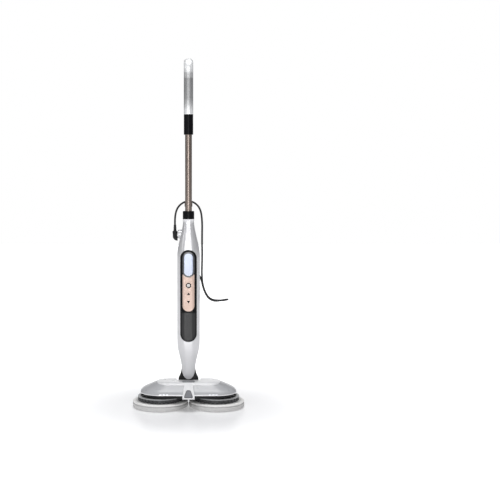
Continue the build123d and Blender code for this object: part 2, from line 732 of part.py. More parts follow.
with BuildPart() as control_plate:
    with BuildSketch(Plane.XZ):
        shield_outline(PLATE_W, PLATE_LOW_Z, PLATE_HIGH_Z)
        with BuildSketch(mode=Mode.SUBTRACT):
            window_hole(WINDOW_RIM)
            with Locations((0, POWER_Z)):
                Circle(POWER_R + POWER_RING)
            arrow_outline(ARROW_UP_Z, ARROW_R + 2 * BUTTON_GAP, 90)
            arrow_outline(ARROW_DOWN_Z, ARROW_R + 2 * BUTTON_GAP, -90)
    extrude(amount=FRONT_REACH)
    keep_between(BODY, RAISED[1.6])
save(control_plate, "control_plate")

with BuildPart() as power_button_ring:
    with BuildSketch(Plane.XZ):
        with Locations((0, POWER_Z)):
            Circle(POWER_R + POWER_RING)
            Circle(POWER_R + BUTTON_GAP, mode=Mode.SUBTRACT)
    extrude(amount=FRONT_REACH)
    keep_between(BODY, RAISED[2.0])
save(power_button_ring, "power_button_ring")

with BuildPart() as lower_panel:
    with BuildSketch(Plane.XZ):
        shield_outline(LOWER_W, LOWER_LOW_Z, LOWER_TOP_Z)
    extrude(amount=FRONT_REACH)
    keep_between(BODY, RAISED[0.9])
save(lower_panel, "lower_panel")

with BuildPart() as power_button:
    with BuildSketch(Plane.XZ.offset(-BUTTON_BACK_Y)):
        with Locations((0, POWER_Z)):
            Circle(POWER_R)
    extrude(amount=BUTTON_BACK_Y - POWER_FRONT_Y)
    fillet(power_button.faces().sort_by(Axis.Y)[0].edges(), 0.8)
save(power_button, "power_button")

for label, height, turn in (("mode_up_button", ARROW_UP_Z, 90), ("mode_down_button", ARROW_DOWN_Z, -90)):
    with BuildPart() as mode_button:
        with BuildSketch(Plane.XZ.offset(-BUTTON_BACK_Y)):
            arrow_outline(height, ARROW_R, turn)
        extrude(amount=BUTTON_BACK_Y - ARROW_FRONT_Y)
        fillet(mode_button.faces().sort_by(Axis.Y)[0].edges(), 0.4)
    save(mode_button, label)

# ---------------------------------------------------------------- inside the body
TANK_LOW, TANK_TOP, TANK_Y = 440.0, 540.0, 4.0
with BuildPart() as water_tank:
    with BuildSketch(Plane.XY.offset(TANK_LOW)):
        with Locations((0, TANK_Y)):
            RectangleRounded(62, 60, 18)
    extrude(amount=TANK_TOP - TANK_LOW)
    with BuildSketch(Plane.XY.offset(TANK_LOW + 2)):
        with Locations((0, TANK_Y)):
            RectangleRounded(58, 56, 16)
    extrude(amount=TANK_TOP - TANK_LOW - 4, mode=Mode.SUBTRACT)
    with Locations(Location((0, 37.5, FILLER_Z), (90, 0, 0))):
        Cylinder(FILLER_HOLE_R, 9)
        Cylinder(FILLER_HOLE_R - 2, 16, mode=Mode.SUBTRACT)
save(water_tank, "water_tank")

with BuildPart() as filler_cap:
    with BuildSketch(Plane.XZ.offset(-CAP_FRONT - CAP_THICK)):
        with Locations((0, FILLER_Z)):
            Circle(FILLER_R)
        with Locations((0, FILLER_Z + FILLER_R - 2)):
            Rectangle(12, 8)
        with Locations((0, FILLER_Z - FILLER_R)):
            RectangleRounded(10, 6, 2)
    extrude(amount=CAP_THICK)
    fillet(filler_cap.faces().sort_by(Axis.Y)[-1].edges(), 0.6)
    with Locations(Location((0, CAP_FRONT + CAP_HINGE_R, CAP_HINGE_Z), (0, 90, 0))):
        Cylinder(CAP_HINGE_R, 12)
        Cylinder(1.0 + RUNNING_GAP, 20, mode=Mode.SUBTRACT)
save(filler_cap, "filler_cap")

with BuildPart() as boiler:
    with BuildSketch(Plane.XY.offset(285)):
        with Locations((0, 8)):
            Circle(19)
    extrude(amount=92)
    for height in range(300, 365, 16):
        with BuildSketch(Plane.XY.offset(height)):
            with Locations((0, 8)):
                Circle(21)
        extrude(amount=4)
save(boiler, "boiler")

with BuildPart() as pump:
    with BuildSketch(Plane.XY.offset(386)):
        with Locations((0, 10)):
            Circle(14)
    extrude(amount=34)
    with BuildSketch(Plane.XY.offset(420)):
        with Locations((0, 10)):
            Circle(5)
    extrude(amount=19)
    with BuildSketch(Plane.XY.offset(378)):
        with Locations((0, 10)):
            Circle(4)
    extrude(amount=8)
save(pump, "pump")

with BuildPart() as control_board:
    with Locations((0, -27.2, 400)):
        Box(48, 1.6, 96)
    for height in (POWER_Z, ARROW_UP_Z, ARROW_DOWN_Z):
        with Locations((0, -29.3, height)):
            Box(6, 2.6, 6)
    with Locations((-12, -23.4, 378), (12, -24.4, 432)):
        Box(12, 6, 14)
save(control_board, "control_board")

with BuildPart() as steam_tube:
    with BuildLine() as steam_line:
        FilletPolyline((0, 8, 285), (0, 8, 236), (-4, 11, 200), (0, 14, 164), radius=30)
    with BuildSketch(Plane(origin=steam_line.line @ 0, z_dir=steam_line.line % 0)):
        Circle(3.2)
    sweep(path=steam_line.line)
save(steam_tube, "steam_tube")

screws("housing_screws", REAR_SCREW_PLACES, (0, -1, 0), 6.5)

# ---------------------------------------------------------------- cord fittings on the body
ELBOW_X, ELBOW_Z = -46.0, 582.0
with BuildPart() as cord_elbow:
    with BuildLine() as elbow_line:
        FilletPolyline(
            (BOSS_X, BOSS_Y, ELBOW_Z - 5), (ELBOW_X, BOSS_Y, ELBOW_Z - 5), (ELBOW_X, BOSS_Y, 602), radius=8,
        )
    with BuildSketch(Plane(origin=elbow_line.line @ 0, z_dir=elbow_line.line % 0)):
        Circle(7.6)
    sweep(path=elbow_line.line)
    with Locations((ELBOW_X, BOSS_Y, 598)):
        Cylinder(8.4, 8)
save(cord_elbow, "cord_elbow")

RELIEF_LOW, RELIEF_TOP = 602.0, 624.0
with BuildPart() as strain_relief:
    with BuildSketch(Plane.XZ.offset(-BOSS_Y)):
        with BuildLine():
            Polyline(
                (ELBOW_X, RELIEF_LOW), (ELBOW_X + 5.6, RELIEF_LOW), (ELBOW_X + 4.2, RELIEF_TOP),
                (ELBOW_X, RELIEF_TOP), close=True,
            )
        make_face()
    revolve(axis=Axis((ELBOW_X, BOSS_Y, 0), (0, 0, 1)))
    for height in (606, 611, 616):
        with BuildSketch(Plane.XY.offset(height)):
            with Locations((ELBOW_X, BOSS_Y)):
                Circle(6.2)
                Circle(4.3, mode=Mode.SUBTRACT)
        extrude(amount=1.6, mode=Mode.SUBTRACT)
    with Locations((CORD_ROUTE[0][0], CORD_ROUTE[0][1], RELIEF_TOP)):
        Cylinder(CORD_D / 2, 4, mode=Mode.SUBTRACT)
save(strain_relief, "strain_relief")


HANK_BACK = HANK_FRONT + HANK_LAYERS * CORD_D
TAB_THICK = 3.5
with BuildPart() as cord_hooks:
    for height, up in zip(HOOK_PLACES, (1, -1)):
        with BuildSketch(Plane.XZ.offset(-HANK_BACK - TAB_THICK - 1)):
            with Locations((0, height)):
                Circle(HOOK_POST_R)
        extrude(amount=HANK_BACK + TAB_THICK + 1 - 40)
        with BuildSketch(Plane.XZ.offset(-HANK_BACK - TAB_THICK - 1)):
            with Locations((0, height + up * 16)):
                RectangleRounded(2 * HOOK_POST_R, 2 * HOOK_POST_R + 30, 8)
        extrude(amount=TAB_THICK)
    fillet(cord_hooks.faces().sort_by(Axis.Y)[-2:].edges(), 1.2)
    add(BODY, mode=Mode.SUBTRACT)
save(cord_hooks, "cord_hooks")

# the clip on the tube, with a shelf and a lip for the cord that passes over it
CLIP_LOW, SHELF_TOP, LIP_TOP, LIP_Y = 686.0, 698.2, 708.0, 27.6
with BuildPart() as cord_clip:
    with BuildSketch(Plane.XY.offset(CLIP_LOW)):
        Circle(TUBE_RADIUS + 2)
        with Locations((0, -TUBE_RADIUS)):
            Rectangle(40, 2 * TUBE_RADIUS + 6, mode=Mode.SUBTRACT)
        with Locations((0, 20)):
            RectangleRounded(12, 19, 2)
        Circle(TUBE_RADIUS, mode=Mode.SUBTRACT)
    extrude(amount=SHELF_TOP - CLIP_LOW)
    with Locations((0, LIP_Y, (CLIP_LOW + LIP_TOP) / 2)):
        Box(12, 2.6, LIP_TOP - CLIP_LOW)
save(cord_clip, "cord_clip")

# ---------------------------------------------------------------- tube, collar and handle
with BuildPart() as neck_collar:
    with BuildSketch(Plane.XY.offset(COLLAR_LOW)):
        Circle(COLLAR_R)
    extrude(amount=COLLAR_TOP - COLLAR_LOW)
    fillet(neck_collar.faces().sort_by(Axis.Z)[-1].edges(), 3)
    with BuildSketch(Plane.XY.offset(COLLAR_LOW)):
        Circle(TUBE_RADIUS)
    extrude(amount=40, mode=Mode.SUBTRACT)
save(neck_collar, "neck_collar")

with BuildPart() as wand_tube:
    with BuildSketch(Plane.XY.offset(TUBE_LOW)):
        Circle(TUBE_RADIUS)
        Circle(TUBE_RADIUS - TUBE_WALL, mode=Mode.SUBTRACT)
    extrude(amount=TUBE_TOP - TUBE_LOW)
save(wand_tube, "wand_tube")

with BuildPart() as handle_sleeve:
    with BuildSketch(Plane.XY.offset(SLEEVE_LOW)):
        Circle(SLEEVE_R)
    extrude(amount=SLEEVE_TOP - SLEEVE_LOW)
    fillet(handle_sleeve.faces().sort_by(Axis.Z)[0].edges(), 1.5)
    with BuildSketch(Plane.XY.offset(SLEEVE_LOW)):
        Circle(TUBE_RADIUS)
    extrude(amount=TUBE_TOP - SLEEVE_LOW, mode=Mode.SUBTRACT)
save(handle_sleeve, "handle_sleeve")


def handle_blank():
    """The handle's outer loop with soft outer edges, still without its grip."""
    with BuildPart() as blank:
        with BuildSketch(Plane.YZ):
            hull_profile(HANDLE_OUTER)
        extrude(amount=HANDLE_HALF_W, both=True)
        sides = blank.faces().filter_by(Axis.X)
        fillet(sides.edges(), HANDLE_SOFT)
        with BuildSketch(Plane.YZ):
            hull_profile(HANDLE_HOLE, HANDLE_INNER_THICK)
        extrude(amount=40, both=True, mode=Mode.SUBTRACT)
        with Locations((0, 0, SLEEVE_TOP - 50)):
            Box(100, 100, 100, mode=Mode.SUBTRACT)
    return blank.part


HANDLE = handle_blank()
GRIP_BLOCK = Pos(0, GRIP_BACK - 20, (GRIP_LOW + GRIP_TOP) / 2) * Box(60, 40, GRIP_TOP - GRIP_LOW)

with BuildPart() as handle_shell:
    add(HANDLE)
    add(GRIP_BLOCK, mode=Mode.SUBTRACT)
save(handle_shell, "handle_shell")

with BuildPart() as handle_grip:
    add(HANDLE)
    add(GRIP_BLOCK, mode=Mode.INTERSECT)
save(handle_grip, "handle_grip")

with BuildPart() as handle_inner:
    with BuildSketch(Plane.YZ):
        hull_profile(HANDLE_HOLE, HANDLE_INNER_THICK)
    extrude(amount=HANDLE_HALF_W - 0.6, both=True)
    with BuildSketch(Plane.YZ):
        hull_profile(HANDLE_HOLE)
    extrude(amount=40, both=True, mode=Mode.SUBTRACT)
save(handle_inner, "handle_inner")

# ---------------------------------------------------------------- the cord itself
cord_tubes((CORD_ROUTE, TAIL_ROUTE), "power_cord")


def hank_loop(radius):
    """An upright loop round both hooks, drawn on the XZ plane."""
    with Locations((0, HANK_Z)):
        SlotCenterToCenter(HANK_RUN, 2 * radius, rotation=90)


HANK_OUTER_R = HANK_INNER_R + (HANK_RINGS - 0.5) * CORD_D
with BuildPart() as cord_hank:
    with BuildSketch(Plane.XZ.offset(-HANK_FRONT)):
        hank_loop(HANK_OUTER_R)
        with BuildSketch(mode=Mode.SUBTRACT):
            hank_loop(HANK_INNER_R - CORD_D / 2)
    extrude(amount=-HANK_LAYERS * CORD_D)
save(cord_hank, "cord_hank")

with BuildPart() as hank_tie:
    with Locations((-26, HANK_FRONT + HANK_LAYERS * CORD_D / 2, HANK_Z + 8)):
        Box(22.4, HANK_LAYERS * CORD_D + 3.4, 14)
        Box(19.6, HANK_LAYERS * CORD_D + 0.4, 20, mode=Mode.SUBTRACT)
save(hank_tie, "hank_tie")

with BuildPart() as mains_plug:
    with BuildSketch(Plane.XY.offset(PLUG_LOW + 14)):
        with Locations(PLUG_AT):
            RectangleRounded(25, 16, 5)
    with BuildSketch(Plane.XY.offset(PLUG_LOW + 36)):
        with Locations(PLUG_AT):
            RectangleRounded(21, 14, 5)
    with BuildSketch(Plane.XY.offset(PLUG_TOP)):
        with Locations(PLUG_AT):
            RectangleRounded(8.6, 8.6, 4)
    loft(ruled=True)
save(mains_plug, "mains_plug")

with BuildPart() as plug_blades:
    with BuildSketch(Plane.XY.offset(PLUG_LOW)):
        with Locations((PLUG_AT[0] - 6.35, PLUG_AT[1]), (PLUG_AT[0] + 6.35, PLUG_AT[1])):
            Rectangle(1.5, 6.3)
    extrude(amount=14)
save(plug_blades, "plug_blades")
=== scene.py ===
import bpy
import math
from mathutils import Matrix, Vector, noise


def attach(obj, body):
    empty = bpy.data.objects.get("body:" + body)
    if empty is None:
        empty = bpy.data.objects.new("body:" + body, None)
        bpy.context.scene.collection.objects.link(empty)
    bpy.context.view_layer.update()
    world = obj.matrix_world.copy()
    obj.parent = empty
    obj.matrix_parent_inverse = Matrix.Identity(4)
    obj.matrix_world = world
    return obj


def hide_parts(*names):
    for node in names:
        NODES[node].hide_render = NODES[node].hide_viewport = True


# A steam mop with two turning pads, upright in a white studio. The CAD nodes get their materials.
# The cord and the two pads are soft pieces made here, in place of the nodes that stand for them.

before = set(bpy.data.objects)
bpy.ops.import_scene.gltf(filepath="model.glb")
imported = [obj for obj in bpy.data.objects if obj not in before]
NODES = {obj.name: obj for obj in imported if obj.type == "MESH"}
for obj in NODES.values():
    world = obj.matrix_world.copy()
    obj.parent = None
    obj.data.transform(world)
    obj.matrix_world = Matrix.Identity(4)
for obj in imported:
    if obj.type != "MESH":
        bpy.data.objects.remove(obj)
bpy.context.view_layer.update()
MM = 0.001

# ---------------------------------------------------------------- camera, light and floor
CAMERA_AT = Vector((0, -3.50, 0.80))
CAMERA_AIM = Vector((0, 0, 0.5385))
VIEW_WIDTH = 1.699           # what the frame spans at the mop's middle
SENSOR = 36.0
SHIFT_RIGHT = 0.123          # the mop stands left of the middle
SOFTBOXES = (                # name, place, the point it faces, width, height, watts
    ("front_softbox", (-0.35, -4.3, 1.15), (0, 0, 0.55), 1.1, 2.6, 52),
    ("left_softbox", (-2.3, -1.7, 1.9), (0, 0, 0.5), 0.7, 1.6, 9),
    ("top_softbox", (0.2, -0.5, 3.0), (0, 0, 0.1), 1.8, 1.4, 38),
)
FLAG_TONE = (0.13, 0.132, 0.136)         # what the mop's edges reflect
WALL_TONE, WALL_REACH = (1.05, 1.05, 1.05), (0.90, 0.945)
CEILING_TONE, CEILING_REACH = (0.70, 0.71, 0.73), (0.60, 0.95)
BACKDROP_TONE = (1, 1, 1)                # what is seen directly, beyond the floor
FLOOR_WIDTH, FLOOR_DROP = 16.0, 0.0004
FLOOR_TONE, FLOOR_ROUGH = (0.86, 0.86, 0.87), 0.30
FLOOR_GLOW = (0.16, 0.85, 0.14, 0.82)    # from and to these distances, at these strengths


def make_camera():
    data = bpy.data.cameras.new("camera")
    data.sensor_width = SENSOR
    data.lens = SENSOR * (CAMERA_AIM - CAMERA_AT).length / VIEW_WIDTH
    data.shift_x = SHIFT_RIGHT
    camera = bpy.data.objects.new("camera", data)
    camera.location = CAMERA_AT
    camera.rotation_euler = (CAMERA_AIM - CAMERA_AT).to_track_quat("-Z", "Y").to_euler()
    bpy.context.scene.collection.objects.link(camera)
    bpy.context.scene.camera = camera


def area_light(name, at, aim, width, height, power):
    data = bpy.data.lights.new(name, "AREA")
    data.shape = "RECTANGLE"
    data.size = width
    data.size_y = height
    data.energy = power
    light = bpy.data.objects.new(name, data)
    light.location = at
    light.rotation_euler = (Vector(aim) - Vector(at)).to_track_quat("-Z", "Y").to_euler()
    bpy.context.scene.collection.objects.link(light)


def ramp_between(tree, value, reach, low, high):
    """Ease from the colour low to the colour high as value passes through its reach."""
    ramp = tree.nodes.new("ShaderNodeValToRGB")
    ramp.color_ramp.interpolation = "EASE"
    for stop, position, colour in zip(ramp.color_ramp.elements, reach, (low, high)):
        stop.position = position
        stop.color = (*colour, 1)
    tree.links.new(value, ramp.inputs[0])
    return ramp.outputs["Color"]


def make_world():
    """A white wall behind, a pale ceiling and dim flags at the sides, against a white backdrop."""
    scene = bpy.context.scene
    scene.view_settings.view_transform = "Standard"
    world = bpy.data.worlds.new("studio")
    world.use_nodes = True
    scene.world = world
    tree = world.node_tree
    coords = tree.nodes.new("ShaderNodeTexCoord")
    split = tree.nodes.new("ShaderNodeSeparateXYZ")
    tree.links.new(coords.outputs["Generated"], split.inputs[0])
    wall = ramp_between(tree, split.outputs["Y"], WALL_REACH, (0, 0, 0), WALL_TONE)
    ceiling = ramp_between(tree, split.outputs["Z"], CEILING_REACH, FLAG_TONE, CEILING_TONE)
    studio = add_mix(tree, 1.0, wall, ceiling, "LIGHTEN")
    direct = tree.nodes.new("ShaderNodeLightPath").outputs["Is Camera Ray"]
    seen = add_mix(tree, direct, studio, BACKDROP_TONE)
    tree.links.new(seen, tree.nodes["Background"].inputs["Color"])


def make_floor():
    """A pale floor that glows more away from the mop, so that only the mop's own shade darkens it."""
    bpy.ops.mesh.primitive_plane_add(size=FLOOR_WIDTH, location=(0, 0, -FLOOR_DROP))
    floor = bpy.context.object
    floor.name = "floor"
    material, tree, shader = fresh_material("floor")
    coords = tree.nodes.new("ShaderNodeTexCoord")
    reach = tree.nodes.new("ShaderNodeVectorMath")
    reach.operation = "LENGTH"
    tree.links.new(coords.outputs["Object"], reach.inputs[0])
    glow = tree.nodes.new("ShaderNodeMapRange")
    glow.interpolation_type = "SMOOTHSTEP"
    for name, value in zip(("From Min", "From Max", "To Min", "To Max"), FLOOR_GLOW):
        glow.inputs[name].default_value = value
    tree.links.new(reach.outputs["Value"], glow.inputs["Value"])
    tree.links.new(glow.outputs["Result"], shader.inputs["Emission Strength"])
    shader.inputs["Emission Color"].default_value = (1, 1, 1, 1)
    shader.inputs["Base Color"].default_value = (*FLOOR_TONE, 1)
    shader.inputs["Roughness"].default_value = FLOOR_ROUGH
    floor.data.materials.append(material)


# ---------------------------------------------------------------- materials
def fresh_material(name):
    material = bpy.data.materials.new(name)
    material.use_nodes = True
    tree = material.node_tree
    return material, tree, tree.nodes["Principled BSDF"]


def add_noise(tree, coords, scale, detail=3.0, rough=0.5):
    node = tree.nodes.new("ShaderNodeTexNoise")
    node.inputs["Scale"].default_value = scale
    node.inputs["Detail"].default_value = detail
    node.inputs["Roughness"].default_value = rough
    tree.links.new(coords, node.inputs["Vector"])
    return node.outputs["Fac"]


def add_range(tree, value, low, high, from_low=0.3, from_high=0.7):
    """Spread a value over low to high. What it comes from is by default a noise's usual range."""
    node = tree.nodes.new("ShaderNodeMapRange")
    node.inputs["From Min"].default_value = from_low
    node.inputs["From Max"].default_value = from_high
    node.inputs["To Min"].default_value = low
    node.inputs["To Max"].default_value = high
    tree.links.new(value, node.inputs["Value"])
    return node.outputs["Result"]


def add_mix(tree, factor, first, second, blend="MIX"):
    """Mix two colours, each a tuple or a socket, by a factor that is a number or a socket."""
    node = tree.nodes.new("ShaderNodeMix")
    node.data_type = "RGBA"
    node.blend_type = blend
    colours = [socket for socket in node.inputs if socket.type == "RGBA"]
    for socket, value in zip((node.inputs["Factor"], *colours), (factor, first, second)):
        if isinstance(value, bpy.types.NodeSocket):
            tree.links.new(value, socket)
        elif isinstance(value, tuple):
            socket.default_value = (*value, 1)
        else:
            socket.default_value = value
    return [socket for socket in node.outputs if socket.type == "RGBA"][0]


def add_height(tree, coords):
    """How high a point of the object is, in its own coordinates."""
    split = tree.nodes.new("ShaderNodeSeparateXYZ")
    tree.links.new(coords, split.inputs[0])
    return split.outputs["Z"]


def add_bump(tree, shader, height, strength, distance):
    bump = tree.nodes.new("ShaderNodeBump")
    bump.inputs["Strength"].default_value = strength
    bump.inputs["Distance"].default_value = distance
    tree.links.new(height, bump.inputs["Height"])
    tree.links.new(bump.outputs["Normal"], shader.inputs["Normal"])


def object_coords(tree, stretch=(1, 1, 1)):
    coords = tree.nodes.new("ShaderNodeTexCoord")
    mapping = tree.nodes.new("ShaderNodeMapping")
    mapping.inputs["Scale"].default_value = stretch
    tree.links.new(coords.outputs["Object"], mapping.inputs["Vector"])
    return mapping.outputs["Vector"]


def tinted(colour, factor):
    """The same colour, darker or brighter."""
    return tuple(min(1.0, channel * factor) for channel in colour)


def moulded(name, colour, rough, texture=0.15, grain=900.0, mottle=0.05, coat=0.0, metal=0.0, shine=0.5):
    """Moulded or painted stock: cloudy tone, uneven gloss and a fine moulded grain."""
    material, tree, shader = fresh_material(name)
    coords = object_coords(tree)
    cloud = add_noise(tree, coords, 14.0)
    smudge = add_noise(tree, coords, 45.0, 5.0)
    fine = add_noise(tree, coords, grain, 2.0)
    pale, deep = tinted(colour, 1 + mottle), tinted(colour, 1 - mottle)
    tone = add_mix(tree, add_range(tree, cloud, 0, 1), deep, pale)
    tree.links.new(tone, shader.inputs["Base Color"])
    tree.links.new(add_range(tree, smudge, rough * 0.86, rough * 1.16), shader.inputs["Roughness"])
    add_bump(tree, shader, fine, texture, 0.00012)
    shader.inputs["Metallic"].default_value = metal
    shader.inputs["Specular IOR Level"].default_value = shine
    shader.inputs["Coat Weight"].default_value = coat
    shader.inputs["Coat Roughness"].default_value = 0.06
    return material


HOLDER_RIM = (0.0362, 0.0372)            # heights in metres: the skirt gives way to the rim
COVER_LIP = (0.0562, 0.0566)             # the bright lip gives way to the cover's painted shade
WINDOW_SPAN = (0.456, 0.523)             # from the window's deeper foot to its paler top
HANDLE_PAINTED_LIGHT = (             # height and brightness, all painted light: a bright foot, a greyer grip zone, a bright crown
    (0.996, 0.80), (1.012, 0.70), (1.030, 0.46), (1.050, 0.28), (1.116, 0.26), (1.1175, 0.40), (1.134, 0.46),
    (1.136, 0.66), (1.150, 0.82), (1.184, 0.86),
)


def handle_paint_with_painted_light():
    """Satin silver paint whose tone changes along the handle: a painted highlight at the foot and crown,
    painted shade over the grip zone.
    """
    material, tree, shader = fresh_material("handle_paint_with_painted_light")
    coords = object_coords(tree)
    low, high = HANDLE_PAINTED_LIGHT[0][0], HANDLE_PAINTED_LIGHT[-1][0]
    level = add_range(tree, add_height(tree, coords), 0, 1, low, high)
    # the tones by height are painted light: painted highlight and painted shade, not the paint's own colour
    ramp = tree.nodes.new("ShaderNodeValToRGB")
    stops = ramp.color_ramp.elements
    while len(stops) < len(HANDLE_PAINTED_LIGHT):
        stops.new(0.5)
    for index, (height, tone) in enumerate(HANDLE_PAINTED_LIGHT):
        stops[index].position = (height - low) / (high - low)
        stops[index].color = (tone * 0.98, tone * 0.99, tone, 1)
    tree.links.new(level, ramp.inputs[0])
    streaks = add_noise(tree, object_coords(tree, (1, 1, 0.02)), 420.0, 2.0)
    streak_tone = add_mix(tree, add_range(tree, streaks, 0, 1), (0.93, 0.93, 0.93), (1, 1, 1))
    tone = add_mix(tree, 1.0, ramp.outputs["Color"], streak_tone, "MULTIPLY")
    tree.links.new(tone, shader.inputs["Base Color"])
    smudge = add_noise(tree, coords, 60.0, 4.0)
    tree.links.new(add_range(tree, smudge, 0.30, 0.42), shader.inputs["Roughness"])
    add_bump(tree, shader, add_noise(tree, coords, 1300.0, 2.0), 0.10, 0.0001)
    shader.inputs["Metallic"].default_value = 0.35
    return material


def brushed(name, colour, rough, along=(1, 1, 0.015), mottle=0.08, relief=0.03):
    """Drawn or turned metal: fine streaks along one direction."""
    material, tree, shader = fresh_material(name)
    streaks = add_noise(tree, object_coords(tree, along), 320.0, 1.0)
    cloud = add_noise(tree, object_coords(tree), 18.0)
    pale, deep = tinted(colour, 1 + mottle), tinted(colour, 1 - mottle)
    streak_tone = add_mix(tree, add_range(tree, streaks, 0, 1), deep, pale)
    soft_tone = add_mix(tree, add_range(tree, cloud, 0, 0.35), streak_tone, tinted(colour, 0.92))
    tree.links.new(soft_tone, shader.inputs["Base Color"])
    tree.links.new(add_range(tree, streaks, rough * 0.92, rough * 1.1), shader.inputs["Roughness"])
    if relief:
        add_bump(tree, shader, streaks, relief, 0.00005)
    shader.inputs["Metallic"].default_value = 1.0
    return material


def pile_cloth(name, light, painted_shade_tone, scrub):
    """Looped microfibre: the mesh's own pile attribute tells its nap from its scrub stripes, and its shade
    attribute paints shade on the pad's side and top.
    """
    material, tree, shader = fresh_material(name)
    coords = object_coords(tree)
    loops = tree.nodes.new("ShaderNodeTexVoronoi")
    loops.inputs["Scale"].default_value = 520.0
    tree.links.new(coords, loops.inputs["Vector"])
    fuzz = add_noise(tree, coords, 260.0, 6.0, 0.65)
    cloud = add_noise(tree, coords, 40.0)
    pile = tree.nodes.new("ShaderNodeAttribute")
    pile.attribute_name = "pile"
    shade = tree.nodes.new("ShaderNodeAttribute")
    shade.attribute_name = "shade"
    nap = add_mix(tree, add_range(tree, fuzz, 0, 1), tinted(light, 0.86), light)
    nap = add_mix(tree, add_range(tree, cloud, 0, 0.35), nap, tinted(light, 0.88))
    # painted shade: the shade attribute darkens the nap towards the painted shade tone
    nap = add_mix(tree, shade.outputs["Fac"], nap, painted_shade_tone)
    nap = add_mix(tree, pile.outputs["Fac"], nap, scrub)
    tree.links.new(nap, shader.inputs["Base Color"])
    height = tree.nodes.new("ShaderNodeMath")
    height.operation = "MULTIPLY"
    tree.links.new(loops.outputs["Distance"], height.inputs[0])
    tree.links.new(fuzz, height.inputs[1])
    add_bump(tree, shader, height.outputs[0], 0.7, 0.0012)
    shader.inputs["Roughness"].default_value = 0.92
    shader.inputs["Sheen Weight"].default_value = 0.35
    shader.inputs["Sheen Roughness"].default_value = 0.6
    return material


def holder_plastic():
    """Dark ribbed skirt under a light rim, told apart by height."""
    material, tree, shader = fresh_material("holder_plastic")
    coords = object_coords(tree)
    rim = add_range(tree, add_height(tree, coords), 0, 1, *HOLDER_RIM)
    cloud = add_noise(tree, coords, 30.0)
    skirt = add_mix(tree, add_range(tree, cloud, 0, 1), (0.035, 0.036, 0.038), (0.06, 0.061, 0.064))
    tone = add_mix(tree, rim, skirt, (0.42, 0.425, 0.43))
    tree.links.new(tone, shader.inputs["Base Color"])
    smudge = add_noise(tree, coords, 60.0, 4.0)
    tree.links.new(add_range(tree, smudge, 0.34, 0.48), shader.inputs["Roughness"])
    add_bump(tree, shader, add_noise(tree, coords, 1100.0, 2.0), 0.2, 0.0001)
    return material


def cover_plastic_with_painted_shade():
    """Light grey cover, the grey being painted shade on a white shell, whose lower lip stays a bright line,
    told apart by height.
    """
    material, tree, shader = fresh_material("cover_plastic_with_painted_shade")
    coords = object_coords(tree)
    lip = add_range(tree, add_height(tree, coords), 1, 0, *COVER_LIP)
    cloud = add_noise(tree, coords, 12.0)
    # painted shade: the grey body tone stands in for the shade on the cover's white shell
    body = add_mix(tree, add_range(tree, cloud, 0, 1), (0.42, 0.425, 0.44), (0.47, 0.475, 0.49))
    tree.links.new(add_mix(tree, lip, body, (0.88, 0.88, 0.89)), shader.inputs["Base Color"])
    smudge = add_noise(tree, coords, 50.0, 4.0)
    tree.links.new(add_range(tree, smudge, 0.26, 0.36), shader.inputs["Roughness"])
    add_bump(tree, shader, add_noise(tree, coords, 1200.0, 2.0), 0.06, 0.0001)
    shader.inputs["Coat Weight"].default_value = 0.3
    return material


def clear_window(name, colour, rough, glow=0.0):
    """A tinted window with a soft inner glow and slight waviness."""
    material, tree, shader = fresh_material(name)
    coords = object_coords(tree)
    level = add_range(tree, add_height(tree, coords), 0, 1, *WINDOW_SPAN)
    tone = add_mix(tree, level, tinted(colour, 0.90), tinted(colour, 1.06))
    cloud = add_noise(tree, coords, 55.0)
    tone = add_mix(tree, add_range(tree, cloud, 0, 0.25), tone, tinted(colour, 0.93))
    tree.links.new(tone, shader.inputs["Base Color"])
    if glow:
        tree.links.new(tone, shader.inputs["Emission Color"])
        shader.inputs["Emission Strength"].default_value = glow
    smudge = add_noise(tree, coords, 80.0)
    tree.links.new(add_range(tree, smudge, rough * 0.7, rough * 1.4), shader.inputs["Roughness"])
    add_bump(tree, shader, cloud, 0.05, 0.0004)
    shader.inputs["Coat Weight"].default_value = 0.7
    shader.inputs["Coat Roughness"].default_value = 0.04
    return material


